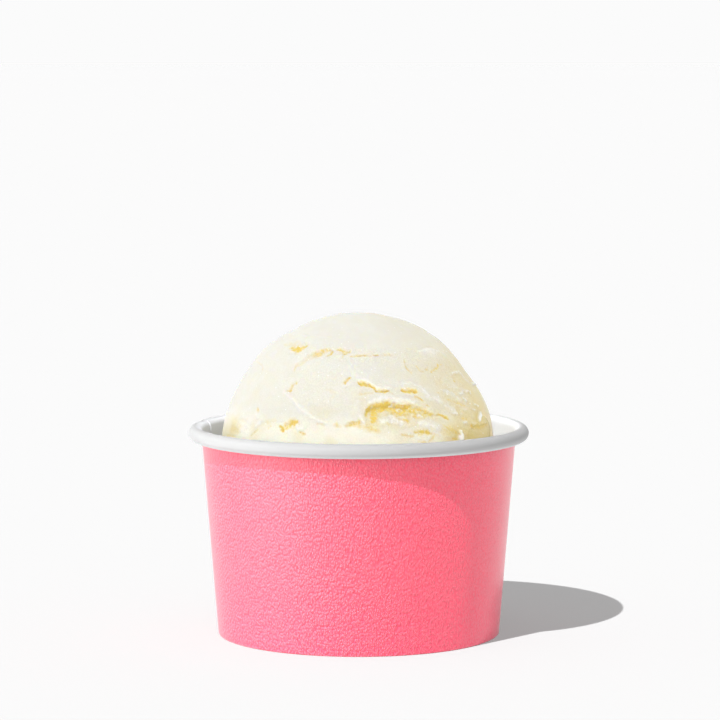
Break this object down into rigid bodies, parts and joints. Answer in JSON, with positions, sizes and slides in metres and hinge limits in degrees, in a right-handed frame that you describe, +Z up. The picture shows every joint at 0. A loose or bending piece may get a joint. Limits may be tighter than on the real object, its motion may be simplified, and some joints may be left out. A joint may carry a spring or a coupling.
{
  "type": "gelato cup",
  "caption": "Round paper cup with a rolled rim, filled with vanilla gelato and topped by one large domed scoop.",
  "frame": {"origin": "centre of the foot ring, on the surface the cup stands on", "axes": "+Z up through the cup and the scoop, -Y towards the front of the scoop, +X to its right; the side wall's lap seam is at the back left"},
  "size_m": [0.096, 0.096, 0.0908],
  "materials": {
    "printed_board": "coated paperboard, flat coral pink outside with a fine embossed tooth, white inside and over the rolled rim, faint satin sheen",
    "white_board": "white coated paperboard, satin",
    "gelato": "pale cream vanilla gelato, translucent, dull and slightly frosty with torn ridges and warmer yellow hollows, wet in a few places"
  },
  "bodies": {
    "root": {"cup_wall": "printed_board", "cup_floor": "white_board", "gelato": "gelato"}
  },
  "joints": []
}
